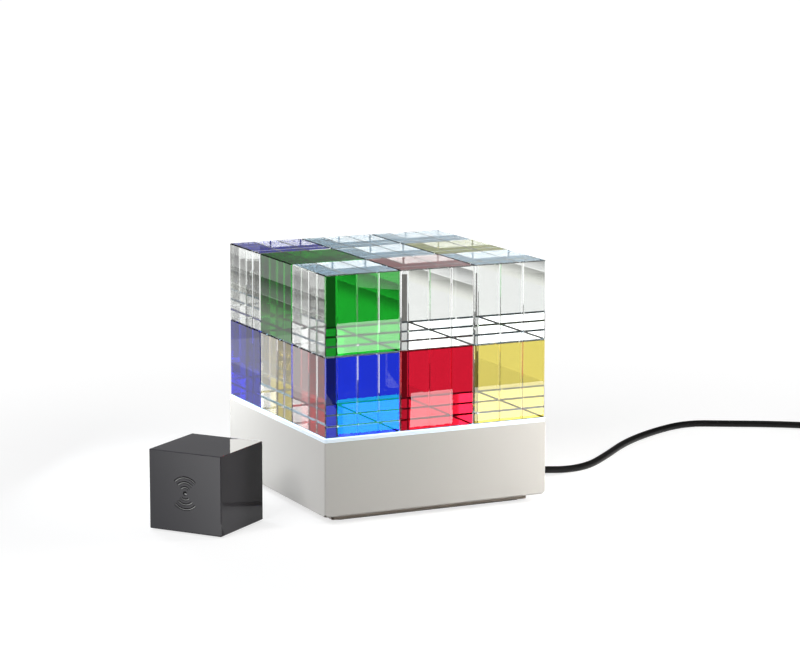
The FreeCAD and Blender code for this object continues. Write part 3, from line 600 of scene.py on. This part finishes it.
def strip_card(right, left, low, high):
    """Corners of a card that stands upright behind the lamp, seen low in the front cubes."""
    return [(right, STRIP_Y, low), (right, STRIP_Y, high), (left, STRIP_Y, high), (left, STRIP_Y, low)]


def studio_cards():
    """Every card: its name, corners, levels, tint, and the rays that it is hidden from."""
    softbox = bpy.context.scene.cube_light.studio.softbox
    return [
        ("low_softbox", facing_card(-30.0, 1600.0, 340.0, 900.0, 420.0), (softbox, softbox), WHITE, ()),
        ("dark_card_back_right", facing_card(26.0, 1300.0, 450.0, 1400.0, 860.0), (0.16, 0.16), WHITE, ()),
        ("strip_light_middle", strip_card(-60, -146, 92, 165), (1.4, 2.9), WHITE, ()),
        ("strip_light_low", strip_card(-147, -200, 92, 131), (5.0, 5.0), WHITE, ()),
        ("strip_light_high", strip_card(-147, -200, 133, 165), (1.6, 1.6), WHITE, ()),
        ("strip_light_right", facing_card(26.0, 360.0, 128.0, 260.0, 80.0), (0.8, 0.8), WHITE, NOT_IN_GLOSS),
        ("shadow_card_behind", flat_card(1, (-10, 150), (230, 100), (450, 640), (150, 740)),
         (0.2, 0.2), (1.0, 0.97, 0.92, 1.0), ()),
        ("white_card_left", flat_card(0.5, (-90, 150), (-520, 150), (-520, 1200), (-90, 1200)),
         (1.14, 1.14), WHITE, NOT_IN_GLOSS),
        ("bright_card_left", flat_card(0.8, (-180, 180), (-320, 180), (-320, 430), (-180, 430)),
         (1.4, 1.4), WHITE, NOT_IN_GLASS),
        ("grey_card_left", flat_card(1, (-268, 480), (-302, 480), (-302, 1100), (-268, 1100)),
         (1.12, 0.45), (1.0, 1.0, 0.95, 1.0), ()),
        ("grey_card_far_left", flat_card(1, (-304, 480), (-335, 480), (-335, 1100), (-304, 1100)),
         (0.9, 0.35), WHITE, ()),
        ("black_card_front_right", flat_card(1, (20, -190), (250, -150), (520, -850), (230, -850)),
         (0.03, 0.03), WHITE, ()),
        ("black_card_front_left", flat_card(1, (-30, -230), (-230, -740), (-400, -560), (-170, -120)),
         (0.03, 0.03), WHITE, ()),
        # Painted shade: a dark card on the floor where the floor between the control cube and the base lies
        # in shade, seen only in gloss.
        ("dark_card_between", flat_card(0.6, (-150, -125), (-62, -125), (-62, -60), (-150, -60)),
         (0.3, 0.3), WHITE, NOT_IN_GLASS),
        ("bright_card_control", flat_card(1, (-144, -27), (-99, -87), (-320, -87), (-320, -27)),
         (2.2, 6.5), WHITE, NOT_IN_GLASS),
        ("bright_card_beside_control",
         [(-94.4, -21.9, 41.2), (-78.8, -28.1, 41.2), (-78.8, -28.1, 50.5), (-94.4, -21.9, 50.5)],
         (3.2, 2.8), (1.0, 0.99, 0.94, 1.0), NOT_IN_GLASS),
        ("grey_card_control", facing_card(17.1, 1203.0, 326.0, 110.0, 160.0),
         (0.28, 0.28), WHITE, NOT_IN_GLASS),
        ("grey_card_tops", facing_card(25.5, 1290.0, 330.0, 300.0, 260.0),
         (0.12, 0.52), WHITE, NOT_IN_GLASS),
        ("bright_card_front_left", flat_card(2, (130, -467), (176, -467), (226, -571), (177, -571)),
         (6.6, 6.6), WHITE, NOT_IN_GLASS),
        ("cyan_card_front_left", flat_card(2, (28, -241), (66, -241), (109, -330), (68, -330)),
         (7.0, 7.0), (0.0, 1.0, 0.6, 1.0), NOT_IN_GLASS),
        ("bright_card_front_middle", flat_card(2, (73, -241), (100, -241), (145, -330), (117, -330)),
         (6.5, 6.5), WHITE, NOT_IN_GLASS),
        ("bright_card_front_right", flat_card(2, (114, -241), (160, -241), (209, -330), (159, -330)),
         (6.0, 6.0), WHITE, NOT_IN_GLASS),
    ]


def soft_lamp(name, where, side, power, tint, hidden_from):
    """A square lamp aimed at the foot of the glass, out of the eye's sight."""
    light = bpy.data.lights.new(name, "AREA")
    light.shape = "SQUARE"
    light.size = side
    light.energy = power
    light.color = tint
    lamp = bpy.data.objects.new(name, light)
    aim = FOOT_OF_GLASS - Vector(where)
    lamp.matrix_world = Matrix.Translation(where) @ aim.to_track_quat("-Z", "Y").to_matrix().to_4x4()
    bpy.context.scene.collection.objects.link(lamp)
    for rays in ("camera", *hidden_from):
        setattr(lamp, "visible_" + rays, False)


def paper_floor_material():
    """White seamless paper: matt, keeps soft shadows near the lamp, and goes over to plain white."""
    material, tree, shader = finish("white_seamless_paper", FLOOR_GREY, Roughness=1.0, Specular_IOR_Level=0.0)
    vary(tree, shader, place(tree), FLOOR_GREY, 40.0, 0.98, 1.02)
    seen = add(tree, "LightPath")
    first = add(tree, "Math", {0: seen.outputs["Is Camera Ray"], 1: seen.outputs["Is Glossy Ray"]},
                operation="MAXIMUM")
    either = add(tree, "Math", {0: first.outputs["Value"], 1: seen.outputs["Is Transmission Ray"]},
                 operation="MAXIMUM")
    distance = add(tree, "VectorMath", {0: add(tree, "TexCoord").outputs["Object"]}, operation="LENGTH")
    even = add(tree, "MapRange", {"Value": distance.outputs["Value"], "From Min": 0.2, "From Max": 0.7,
                                  "To Min": 0.72, "To Max": 1.0})
    level = add(tree, "Math", {0: either.outputs["Value"], 1: even.outputs["Result"]}, operation="MULTIPLY")
    white = add(tree, "Emission", {"Color": WHITE, "Strength": level.outputs["Value"]})
    both = add(tree, "AddShader", {0: shader.outputs["BSDF"], 1: white.outputs["Emission"]})
    tree.links.new(both.outputs["Shader"], tree.nodes["Material Output"].inputs["Surface"])
    return material


# ---------------------------------------------------------------- operators

CAMERA_PLACE = (-0.5859, -1.2350, 0.3235)
CAMERA_DEGREES = (25.708, -10.117, 0.131)  # to the right of +Y, above level, about its own axis
CAMERA_LENS_MM = 122.39


class CUBELIGHT_OT_camera(bpy.types.Operator):
    """Places the camera at the photographed view of the lamp"""
    bl_idname = "cubelight.camera"
    bl_label = "Camera"

    def execute(self, context):
        yaw, pitch, roll = (math.radians(a) for a in CAMERA_DEGREES)
        ahead = Vector((math.sin(yaw) * math.cos(pitch), math.cos(yaw) * math.cos(pitch), math.sin(pitch)))
        right = Vector((math.cos(yaw), -math.sin(yaw), 0.0))
        up = right.cross(ahead)
        x_way = right * math.cos(roll) + up * math.sin(roll)
        y_way = up * math.cos(roll) - right * math.sin(roll)
        view = Matrix((x_way, y_way, -ahead)).transposed().to_4x4()
        view.translation = CAMERA_PLACE
        data = bpy.data.cameras.new("photo_camera")
        data.sensor_width = 36.0
        data.lens = CAMERA_LENS_MM
        data.clip_start = 0.02
        camera = bpy.data.objects.new("photo_camera", data)
        camera.matrix_world = view
        context.scene.collection.objects.link(camera)
        context.scene.camera = camera
        return {"FINISHED"}


class CUBELIGHT_OT_lead(bpy.types.Operator):
    """Lays the lead in one smooth line from the base through its coil to the power supply"""
    bl_idname = "cubelight.lead"
    bl_label = "Lead"

    def execute(self, context):
        settings = context.scene.cube_light.lead
        points = lead_points()
        curve = bpy.data.curves.new("supply_lead", "CURVE")
        curve.dimensions = "3D"
        curve.bevel_depth = settings.diameter / 2
        curve.bevel_resolution = 4
        curve.resolution_u = 5
        curve.use_fill_caps = True
        spline = curve.splines.new("NURBS")
        spline.points.add(len(points) - 1)
        spline.points.foreach_set("co", np.hstack([points, np.ones((len(points), 1))]).ravel())
        spline.order_u = 3
        spline.use_endpoint_u = True
        curve.materials.append(lead_jacket("extruded_black_pvc", tuple(settings.jacket)))
        lead = bpy.data.objects.new("supply_lead", curve)
        context.scene.collection.objects.link(lead)
        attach(lead, "base")
        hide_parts("power_cord", "cord_coil", "cord_tail")
        return {"FINISHED"}


class CUBELIGHT_OT_crystals(bpy.types.Operator):
    """Grinds the eighteen glass cubes, each on its own body"""
    bl_idname = "cubelight.crystals"
    bl_label = "Glass cubes"

    def execute(self, context):
        settings = context.scene.cube_light.crystal
        melts = {melt: polished_crystal(melt + "_crystal_glass", tuple(getattr(settings, melt)))
                 for melt in ("clear", "green", "blue", "red", "yellow")}
        for node in [n for n in NODES if n.startswith(("lower_cube_", "upper_cube_"))]:
            low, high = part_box(node)
            points, faces = ground_cube_arrays((low + high) / 2, settings.size, settings.edge)
            cube = mesh_object(node.replace("_cube_", "_crystal_"), points, faces, melts[crystal_of(node)])
            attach(cube, node.rsplit("_", 1)[0])
            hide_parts(node)
        return {"FINISHED"}


class CUBELIGHT_OT_base(bpy.types.Operator):
    """Finishes the folded base, its opal plate and what it holds"""
    bl_idname = "cubelight.base"
    bl_label = "Base"

    def execute(self, context):
        dress(base_finishes())
        return {"FINISHED"}


class CUBELIGHT_OT_control(bpy.types.Operator):
    """Finishes the black control cube"""
    bl_idname = "cubelight.control"
    bl_label = "Control cube"

    def execute(self, context):
        dress(control_finishes())
        return {"FINISHED"}


class CUBELIGHT_OT_supply(bpy.types.Operator):
    """Finishes the plug-in power supply and the strap round the coil"""
    bl_idname = "cubelight.supply"
    bl_label = "Power supply"

    def execute(self, context):
        dress(supply_finishes())
        return {"FINISHED"}


class CUBELIGHT_OT_studio(bpy.types.Operator):
    """Lays the paper floor and sets up lamps and the cards that the glass looks at"""
    bl_idname = "cubelight.studio"
    bl_label = "Studio"

    def execute(self, context):
        settings = context.scene.cube_light.studio
        r = FLOOR_REACH
        corners = np.array([[-r, -r, 0], [r, -r, 0], [r, r, 0], [-r, r, 0]])
        mesh_object("paper_floor", corners, np.array([[0, 1, 2, 3]]), paper_floor_material())
        for card in studio_cards():
            studio_card(*card)
        for name, where, side, power, tint, hidden_from in LAMPS:
            soft_lamp(name, where, side, getattr(settings, power), tint, hidden_from)

        world = bpy.data.worlds.new("studio_room")
        world.use_nodes = True
        background = world.node_tree.nodes["Background"]
        background.inputs["Color"].default_value = WHITE
        background.inputs["Strength"].default_value = settings.room
        context.scene.world = world
        context.scene.view_settings.view_transform = "Standard"
        context.scene.cycles.max_bounces = 40
        context.scene.cycles.transmission_bounces = 40
        context.scene.cycles.glossy_bounces = 12
        return {"FINISHED"}


class CUBELIGHT_PT_panel(bpy.types.Panel):
    """Lists the lamp's pieces and the studio"""
    bl_idname = "CUBELIGHT_PT_panel"
    bl_label = "Crystal cube light"
    bl_space_type = "VIEW_3D"
    bl_region_type = "UI"
    bl_category = "Cube Light"

    def draw(self, context):
        settings = context.scene.cube_light
        for operator in OPERATORS:
            self.layout.operator(operator.bl_idname)
        for name in ("crystal", "base", "control", "lead", "studio"):
            group = getattr(settings, name)
            box = self.layout.box()
            box.label(text=name.capitalize())
            for field in group.__annotations__:
                box.prop(group, field)


OPERATORS = (CUBELIGHT_OT_camera, CUBELIGHT_OT_lead, CUBELIGHT_OT_crystals, CUBELIGHT_OT_base,
             CUBELIGHT_OT_control, CUBELIGHT_OT_supply, CUBELIGHT_OT_studio)
CLASSES = (CrystalSettings, BaseSettings, ControlSettings, LeadSettings, StudioSettings,
           CubeLightSettings, *OPERATORS, CUBELIGHT_PT_panel)


def register():
    for cls in CLASSES:
        bpy.utils.register_class(cls)
    bpy.types.Scene.cube_light = bpy.props.PointerProperty(type=CubeLightSettings)


def unregister():
    del bpy.types.Scene.cube_light
    for cls in reversed(CLASSES):
        bpy.utils.unregister_class(cls)


def build_cube_light():
    """Registers the classes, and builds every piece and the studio."""
    register()
    bpy.ops.cubelight.camera()
    bpy.ops.cubelight.lead()
    bpy.ops.cubelight.crystals()
    bpy.ops.cubelight.base()
    bpy.ops.cubelight.control()
    bpy.ops.cubelight.supply()
    bpy.ops.cubelight.studio()


if __name__ == "__main__":
    build_cube_light()
